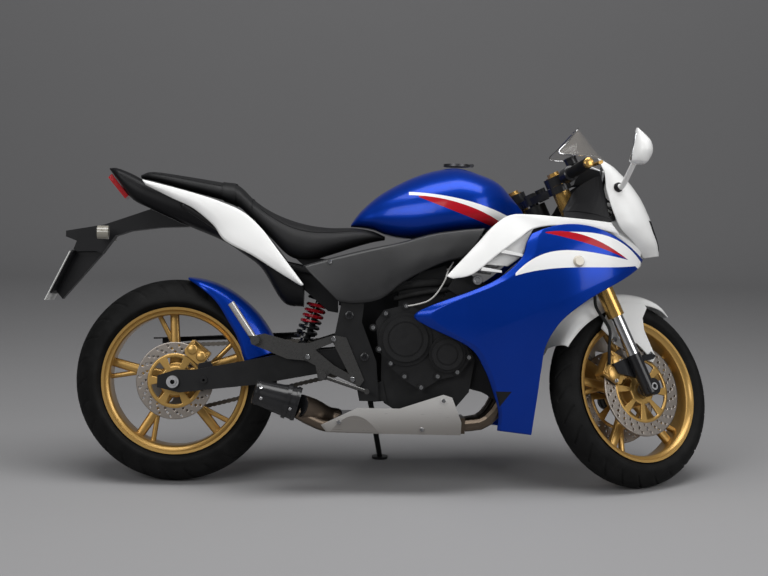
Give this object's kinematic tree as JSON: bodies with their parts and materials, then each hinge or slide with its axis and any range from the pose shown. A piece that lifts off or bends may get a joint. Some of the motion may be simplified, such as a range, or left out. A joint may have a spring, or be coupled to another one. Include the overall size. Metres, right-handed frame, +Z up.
{
  "type": "faired sport motorcycle",
  "caption": "Faired road motorcycle with wheels that roll, a fork that steers, a side stand that folds and a filler cap that lifts, parked leaning on its stand.",
  "frame": {"origin": "middle of the parked motorcycle over its length and width, on the floor", "axes": "+X forward along the motorcycle, +Y to the rider's left, +Z up from the floor"},
  "size_m": [2.1016, 0.6388, 1.1427],
  "materials": {
    "bare_steel": "satin",
    "black_plastic": "satin",
    "blue_paint": "gloss",
    "bright_chrome": "mirror",
    "can_black": "satin",
    "clear_screen": "clear",
    "engine_black": "satin",
    "frame_grey": "satin",
    "gold_metal": "satin",
    "header_bronze": "heat tinted",
    "indicator_lens": "gloss",
    "lamp_clear": "clear",
    "lamp_red": "gloss",
    "plate_white": "satin",
    "satin_alloy": "satin",
    "seat_vinyl": "grained",
    "shield_steel": "brushed",
    "soft_rubber": "matte",
    "spring_red": "gloss",
    "tyre_rubber": "grooved",
    "white_paint": "gloss"
  },
  "bodies": {
    "chassis": {"main_frame": "frame_grey", "seat_subframe": "frame_grey", "swingarm": "frame_grey", "rear_axle": "bare_steel", "rear_caliper": "gold_metal", "drive_chain": "bare_steel", "chain_guard": "black_plastic", "rear_hugger": "blue_paint", "rear_shock": "satin_alloy", "shock_spring": "spring_red", "engine_block": "engine_black", "engine_cover_right": "engine_black", "engine_cover_left": "engine_black", "radiator": "engine_black", "exhaust_headers": "header_bronze", "exhaust_silencer": "can_black", "exhaust_shield": "shield_steel", "fuel_tank": "blue_paint", "dual_seat": "seat_vinyl", "tail_side_panels": "white_paint", "tail_undertray": "black_plastic", "tail_light": "lamp_red", "plate_bracket": "black_plastic", "number_plate": "plate_white", "indicators": "indicator_lens", "frame_covers": "black_plastic", "nose_cowl": "white_paint", "headlight": "lamp_clear", "windscreen": "clear_screen", "mid_panels": "white_paint", "side_fairing_right": "blue_paint", "side_fairing_left": "blue_paint", "inner_panels": "black_plastic", "dash_panel": "black_plastic", "mirrors": "white_paint", "fairing_stay": "frame_grey", "footrests_right": "satin_alloy", "footrests_left": "satin_alloy"},
    "fork": {"fork_yokes": "engine_black", "fork_tubes": "gold_metal", "fork_sliders": "bright_chrome", "fork_lowers": "engine_black", "handlebars": "engine_black", "grips": "soft_rubber", "front_mudguard": "white_paint", "front_calipers": "gold_metal", "front_axle": "bare_steel"},
    "front_wheel": {"front_tyre": "tyre_rubber", "front_rim": "gold_metal", "front_discs": "bare_steel"},
    "rear_wheel": {"rear_tyre": "tyre_rubber", "rear_rim": "gold_metal", "rear_disc": "bare_steel", "rear_sprocket": "bare_steel"},
    "stand": {"side_stand": "frame_grey"},
    "fuel_cap": {"filler_cap": "satin_alloy"}
  },
  "joints": [
    {"name": "steering", "type": "hinge", "parent": "chassis", "child": "fork", "pos_m": [0.50673, 0.02984, 0.80357], "axis": [0.4217, -0.1418, -0.8956], "range_deg": [0, 70]},
    {"name": "front_wheel_spin", "type": "hinge", "parent": "fork", "child": "front_wheel", "pos_m": [0.78555, -0.0297, 0.28341], "axis": [-0.5201, 0.7712, -0.3671], "continuous": true},
    {"name": "rear_wheel_spin", "type": "hinge", "parent": "chassis", "child": "rear_wheel", "pos_m": [-0.6449, -0.04797, 0.3123], "axis": [0, 0.9877, -0.1564], "continuous": true},
    {"name": "side_stand_fold", "type": "hinge", "parent": "chassis", "child": "stand", "pos_m": [-0.03907, 0.13084, 0.25033], "axis": [0.0746, 0.9226, 0.3786], "range_deg": [0, 99.71]},
    {"name": "filler_cap_hinge", "type": "hinge", "parent": "chassis", "child": "fuel_cap", "pos_m": [0.27679, 0.05983, 0.9929], "axis": [0, 0.9877, -0.1564], "range_deg": [0, 80]}
  ]
}
